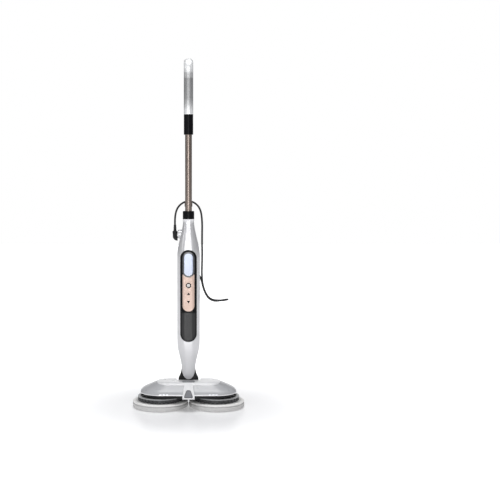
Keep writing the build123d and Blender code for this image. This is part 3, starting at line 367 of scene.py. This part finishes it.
def make_materials():
    return {
        "white": moulded("white_gloss", (0.82, 0.82, 0.83), 0.30, 0.05, 1200, 0.02, coat=0.35),
        "pearl": moulded("pearl_white", (0.60, 0.60, 0.615), 0.33, 0.05, 1200, 0.02, coat=0.2, metal=0.45),
        "cover_painted_shade": cover_plastic_with_painted_shade(),
        "cap_grey": moulded("cap_grey", (0.50, 0.505, 0.52), 0.36, 0.10, 1100, 0.04),
        "badge_grey": moulded("badge_grey", (0.24, 0.245, 0.26), 0.36, 0.10, 1000, 0.05),
        "black_gloss": moulded("black_gloss", (0.004, 0.004, 0.005), 0.34, 0.06, 1200, 0.10, shine=0.10),
        "black_matte": moulded("black_matte", (0.010, 0.010, 0.011), 0.50, 0.35, 700, 0.15, shine=0.25),
        "smoke": moulded("smoke_panel", (0.011, 0.011, 0.012), 0.22, 0.03, 1200, 0.12, coat=0.12, shine=0.3),
        "rose": moulded("rose_gold", (0.54, 0.40, 0.34), 0.36, 0.12, 1500, 0.03, metal=0.30, coat=0.1),
        "dark_ring": moulded("dark_ring", (0.060, 0.063, 0.070), 0.26, 0.06, 1200, 0.08, coat=0.3),
        "black_ring": moulded("black_ring", (0.004, 0.004, 0.005), 0.34, 0.06, 1200, 0.08, shine=0.08),
        "nose_grey": moulded("nose_grey", (0.20, 0.205, 0.22), 0.32, 0.08, 1200, 0.05, coat=0.3),
        "button": moulded("button_light", (0.72, 0.68, 0.66), 0.26, 0.05, 1200, 0.03, coat=0.4),
        "silver": handle_paint_with_painted_light(),
        "silver_inner": moulded("silver_inner", (0.36, 0.37, 0.39), 0.45, 0.25, 900, 0.05, metal=0.2),
        "bronze": brushed("bronze_tube", (0.31, 0.256, 0.226), 0.33, mottle=0.02, relief=0),
        "steel": brushed("turned_steel", (0.55, 0.55, 0.56), 0.28, (1, 1, 0.1)),
        "brass": brushed("turned_brass", (0.66, 0.48, 0.22), 0.30, (1, 1, 0.1)),
        "cast": moulded("cast_aluminium", (0.55, 0.56, 0.57), 0.45, 0.5, 500, 0.08, metal=0.9),
        "acetal": moulded("gear_acetal", (0.72, 0.70, 0.62), 0.42, 0.15, 900, 0.04),
        "tank": moulded("tank_plastic", (0.62, 0.70, 0.78), 0.30, 0.10, 900, 0.04),
        "pump": moulded("pump_plastic", (0.05, 0.05, 0.055), 0.48, 0.3, 700, 0.1),
        "silicone": moulded("steam_silicone", (0.62, 0.58, 0.52), 0.55, 0.2, 700, 0.05),
        "board": moulded("board_green", (0.02, 0.14, 0.06), 0.35, 0.2, 700, 0.12),
        "cord": moulded("cord_rubber", (0.014, 0.014, 0.015), 0.46, 0.35, 800, 0.15, shine=0.35),
        "window": clear_window("window_blue", (0.47, 0.53, 0.69), 0.22),
        "lens": clear_window("lens_clear", (0.86, 0.88, 0.92), 0.12, 0.25),
        "holder": holder_plastic(),
        "pile": pile_cloth("pad_pile", (0.95, 0.94, 0.92), (0.30, 0.30, 0.305), (0.13, 0.135, 0.14)),
        "strap": moulded("hook_strap", (0.03, 0.03, 0.032), 0.85, 0.9, 420, 0.2),
    }


MATERIAL_OF_NODE = {
    "white": "nose_housing top_plate",
    "pearl": "front_housing rear_housing",
    "cover_painted_shade": "head_cover",
    "cap_grey": "filler_cap",
    "badge_grey": "badge_plate",
    "black_gloss": "neck_collar handle_sleeve panel_bezel",
    "black_matte": "head_base gearbox_plate pivot_yoke cord_elbow cord_hooks cord_clip",
    "smoke": "lower_panel",
    "rose": "control_plate",
    "dark_ring": "window_ring",
    "black_ring": "power_button_ring mode_up_button mode_down_button",
    "nose_grey": "nose_badge",
    "button": "power_button",
    "silver": "handle_shell handle_grip",
    "silver_inner": "handle_inner",
    "bronze": "wand_tube",
    "steel": "gear_axles left_spindle right_spindle pivot_pins steer_pin base_screws housing_screws"
             " motor_pinion drive_motor",
    "brass": "spindle_bushes steam_nozzles plug_blades",
    "cast": "boiler",
    "acetal": "left_pad_gear right_pad_gear left_idler_gear right_idler_gear",
    "tank": "water_tank",
    "pump": "pump",
    "silicone": "steam_tube",
    "board": "control_board",
    "cord": "strain_relief mains_plug",
    "window": "tank_window",
    "lens": "front_light_lenses",
    "holder": "left_pad_holder right_pad_holder",
    "strap": "hank_tie",
}


def dress_nodes(materials):
    """Give each CAD node its material."""
    for key, names in MATERIAL_OF_NODE.items():
        for name in names.split():
            node = NODES[name]
            node.data.materials.clear()
            node.data.materials.append(materials[key])


# ---------------------------------------------------------------- the mains cord, in millimetres
CORD_D = 6.5
CORD_ROUTE = (               # from the strain relief to the hank
    (-46, 14, 622), (-47, 15, 650), (-38, 19, 684), (-12, 22, 704), (16, 22, 703), (40, 19, 681),
    (47, 16, 640), (46, 14, 578), (46.8, 13, 510), (45, 13, 446), (51, 12.5, 404), (72, 12, 367),
    (112.5, 11, 364), (135, 33.5, 365), (136, 65.5, 362), (116, 87, 356), (90, 90, 352),
    (67, 87, 364), (51.5, 84, 398), (45.5, 82, 428), (36, 76.5, 447),
)
TAIL_ROUTE = ((-32.5, 49.25, 330), (-31, 50, 303), (-24, 52, 278), (-18, 53, 253))
HANK_Z, HANK_RUN = 385.0, 125.0          # the height of its middle, and its straight runs
HANK_BACK = 78.5                         # its rear face
RINGS = (32.5, 26.0, 19.5)               # the radii of its folds
RING_ORDER = (0, 1, 2, 2, 1, 0, 0, 1, 2, 2, 1, 0, 1, 0)  # outermost layer first
TURNS_PER_LAYER = 3
RUN_POINT = 22.0             # a straight run's control points, above and below the middle
FOLD_ANGLES = (22.5, 67.5, 112.5, 157.5)


def tube_curve(name, kind, points, thick, rounding):
    """A round line of one thickness along points given in millimetres."""
    curve = bpy.data.curves.new(name, "CURVE")
    curve.dimensions = "3D"
    spline = curve.splines.new(kind)
    spline.points.add(len(points) - 1)
    for control, point in zip(spline.points, points):
        control.co = (*(value * MM for value in point), 1)
    curve.bevel_depth = thick / 2 * MM
    curve.bevel_resolution = rounding
    curve.use_fill_caps = True
    line = bpy.data.objects.new(name, curve)
    bpy.context.scene.collection.objects.link(line)
    return line, spline


def hank_fold(radius, y, middle, turned):
    """The control points of half a turn round one hook, just outside its arc."""
    reach = radius / math.cos(math.radians(FOLD_ANGLES[0]))
    turns = [math.radians(angle + turned) for angle in FOLD_ANGLES]
    return [(reach * math.cos(turn), y, middle + reach * math.sin(turn)) for turn in turns]


def cord_points():
    """The route, then the hank's turns: over the top, down the left, under, and up to the next."""
    top, bottom = HANK_Z + HANK_RUN / 2, HANK_Z - HANK_RUN / 2
    turns = [
        (RINGS[ring], HANK_BACK - CORD_D / 2 - index // TURNS_PER_LAYER * CORD_D)
        for index, ring in enumerate(RING_ORDER)
    ]
    points = list(CORD_ROUTE)
    for index, (radius, y) in enumerate(turns):
        points += hank_fold(radius, y, top, 0)
        points += [(-radius, y, HANK_Z + RUN_POINT), (-radius, y, HANK_Z - RUN_POINT)]
        if index + 1 < len(turns):
            next_radius, next_y = turns[index + 1]
            points += hank_fold(radius, y, bottom, 180)
            points.append(((radius + next_radius) / 2, (y + next_y) / 2, HANK_Z - RUN_POINT))
            points.append((next_radius, next_y, HANK_Z + RUN_POINT))
    return points + list(TAIL_ROUTE)


def make_cord(material):
    """The mains cord on its route and in its hank, in place of the two CAD nodes for it."""
    lead, spline = tube_curve("mains_lead", "NURBS", cord_points(), CORD_D, 5)
    spline.order_u = 3
    spline.use_endpoint_u = True
    spline.resolution_u = 6
    lead.data.materials.append(material)
    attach(lead, "wand")
    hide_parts("power_cord", "cord_hank")


# ---------------------------------------------------------------- the mop pads, in millimetres
PAD_X = 96.5
PAD_SECTORS = 288
UNDERSIDE_STEP, UNDERSIDE_RINGS = 2.0, 41
PAD_SIDE = (                 # radius, height, how much painted shade darkens the cloth there
    (85.5, 0.6, 0.0), (90.2, 1.2, 0.15), (93.3, 3.4, 0.35), (94.6, 6.4, 0.45), (95.0, 9.6, 0.45),
    (94.8, 12.6, 0.42), (93.8, 15.0, 0.55), (92.4, 16.2, 0.85), (93.1, 17.4, 0.30), (94.1, 19.4, 0.0),
    (93.8, 21.8, 0.0), (92.0, 23.8, 0.0), (88.6, 24.6, 0.0), (85.2, 24.0, 0.1), (82.6, 23.0, 0.4),
)
# the top's third column is painted shade too, under the holder
PAD_TOP = ((78.0, 22.8, 0.3), (60.0, 23.4, 0.2), (30.0, 23.6, 0.2), (8.0, 23.6, 0.2))
STRIPE_PITCH, STRIPE_SHARE, STRIPES_REACH = 13.2, 0.42, 84.0
FLUFFY_FROM = 80.0           # the rim is fluffier than the middle from this radius


def smooth_step(low, high, value):
    """0 below low, 1 above high, and a smooth rise between them."""
    share = min(1.0, max(0.0, (value - low) / (high - low)))
    return share * share * (3 - 2 * share)


def scrub_stripe(x, y):
    """How far a point of the underside lies in a scrub stripe: slanting stripes with wavy edges."""
    across = (x - y) * 0.7071
    along = (x + y) * 0.7071
    wave = 1.6 * math.sin(along * 0.62) + 0.8 * math.sin(along * 1.45 + across * 0.2)
    phase = ((across + wave) / STRIPE_PITCH) % 1.0
    return 1 - smooth_step(STRIPE_SHARE - 0.12, STRIPE_SHARE, abs(phase - 0.5) * 2)


def raise_nap(radius, height, turn):
    """Where the pile stands at a point of the pad's skin, and how far that is in a scrub stripe."""
    x, y = radius * math.cos(turn), radius * math.sin(turn)
    underside = height < 1
    stripe = scrub_stripe(x, y) if underside and radius < STRIPES_REACH else 0.0
    fluff = noise.fractal(Vector((x, y, height * 2.0)) * 0.42, 1.0, 2.0, 3)
    lump = noise.noise(Vector((x, y, height)) * 0.06)
    grow = 0.0 if underside or radius < FLUFFY_FROM else 0.55 * fluff + 0.5 * lump
    lift = (1.5 - 1.1 * stripe - 0.35 * abs(fluff)) if underside else 0.25 * fluff
    scale = (radius + grow) / radius
    return (x * scale, y * scale, height + lift), stripe


def pad_faces(ring_count):
    """Quads between the rings, a fan round the underside's middle and one face on top."""
    faces = []
    for ring in range(ring_count - 1):
        for sector in range(PAD_SECTORS):
            ahead = (sector + 1) % PAD_SECTORS
            low, high = 1 + ring * PAD_SECTORS, 1 + (ring + 1) * PAD_SECTORS
            faces.append((low + ahead, low + sector, high + sector, high + ahead))
    for sector in range(PAD_SECTORS):
        faces.append((0, 1 + sector, 1 + (sector + 1) % PAD_SECTORS))
    last = 1 + (ring_count - 1) * PAD_SECTORS
    faces.append(tuple(last + sector for sector in reversed(range(PAD_SECTORS))))
    return faces


def make_pad(side, sign, material):
    """A padded microfibre disc: striped underside, napped side, a seam and a bound upper rim, with painted
    shade down its side, darkest at the seam.
    """
    underside = [(step * UNDERSIDE_STEP, 0.0, 0.0) for step in range(1, UNDERSIDE_RINGS + 1)]
    rings = [*underside, *PAD_SIDE, *PAD_TOP]
    vertices, pile, shade = [(sign * PAD_X, 0.0, 1.0)], [0.0], [0.0]
    for radius, height, shade_level in rings:
        for sector in range(PAD_SECTORS):
            (x, y, z), stripe = raise_nap(radius, height, 2 * math.pi * sector / PAD_SECTORS)
            vertices.append((sign * PAD_X + x, y, z))
            pile.append(stripe)
            shade.append(shade_level)
    mesh = bpy.data.meshes.new(f"{side}_cloth_pad")
    scaled = [tuple(value * MM for value in vertex) for vertex in vertices]
    mesh.from_pydata(scaled, [], pad_faces(len(rings)))
    # the shade attribute holds painted shade; pile holds the real scrub stripes
    for name, values in (("pile", pile), ("shade", shade)):
        layer = mesh.attributes.new(name, "FLOAT", "POINT")
        layer.data.foreach_set("value", values)
    mesh.polygons.foreach_set("use_smooth", [True] * len(mesh.polygons))
    mesh.update()
    pad = bpy.data.objects.new(f"{side}_cloth_pad", mesh)
    bpy.context.scene.collection.objects.link(pad)
    mesh.materials.append(material)
    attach(pad, f"{side}_pad")
    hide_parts(f"{side}_mop_pad")


# ---------------------------------------------------------------- small printed marks, in millimetres
POWER_Z, POWER_FACE_Y = 421.0, -38.62
SIGN_R, SIGN_LINE = 2.6, 0.7
SIGN_START, SIGN_SWEEP, SIGN_STEPS = 125, 290, 24    # degrees, and the gap is at the top
BADGE_CORNERS = ((-14.5, -11.5), (14.5, -11.5), (6.5, 13.5), (-6.5, 13.5))
BADGE_BEND, BADGE_LINE, BADGE_STAND = 5, 1.5, 0.95
BADGE_AT = Vector((0, -87.2, 59.5))
BADGE_UP = Vector((0, 12.5, 28.5)).normalized()
BADGE_OUT = Vector((0, -28.5, 12.5)).normalized()


def printed_line(name, body, points, thick, material):
    """A thin raised line of ink along the given points."""
    line, _ = tube_curve(name, "POLY", points, thick, 2)
    line.data.materials.append(material)
    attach(line, body)


def make_power_sign(material):
    """The usual on/off sign on the power button: an open ring and an upright stroke."""
    ring = []
    for step in range(SIGN_STEPS + 1):
        turn = math.radians(SIGN_START + SIGN_SWEEP * step / SIGN_STEPS)
        ring.append((SIGN_R * math.cos(turn), POWER_FACE_Y, POWER_Z - 0.3 + SIGN_R * math.sin(turn)))
    printed_line("power_sign_ring", "power_button", ring, SIGN_LINE, material)
    stroke = [(0, POWER_FACE_Y, POWER_Z + height) for height in (0.3, 3.2)]
    printed_line("power_sign_stroke", "power_button", stroke, SIGN_LINE, material)


def make_badge_line(material):
    """A dark line round the nose's badge, its corners rounded by short quadratic bends."""
    corners = [Vector(corner) for corner in BADGE_CORNERS]
    flat = []
    for index, corner in enumerate(corners):
        before, after = corners[index - 1], corners[(index + 1) % len(corners)]
        start = corner + (before - corner).normalized() * BADGE_BEND
        end = corner + (after - corner).normalized() * BADGE_BEND
        for step in range(7):
            share = step / 6
            bend = start * (1 - share) ** 2 + corner * 2 * share * (1 - share) + end * share ** 2
            flat.append(bend)
    flat.append(flat[0])
    out = BADGE_OUT * BADGE_STAND
    points = [BADGE_AT + Vector((spot.x, 0, 0)) + BADGE_UP * spot.y + out for spot in flat]
    printed_line("badge_line", "head", points, BADGE_LINE, material)


# ---------------------------------------------------------------- making
make_camera()
make_world()
for softbox in SOFTBOXES:
    area_light(*softbox)
make_floor()
MATERIALS = make_materials()
make_cord(MATERIALS["cord"])
dress_nodes(MATERIALS)
for pad_side, pad_sign in (("left", -1), ("right", 1)):
    make_pad(pad_side, pad_sign, MATERIALS["pile"])
make_power_sign(MATERIALS["black_matte"])
make_badge_line(MATERIALS["black_matte"])
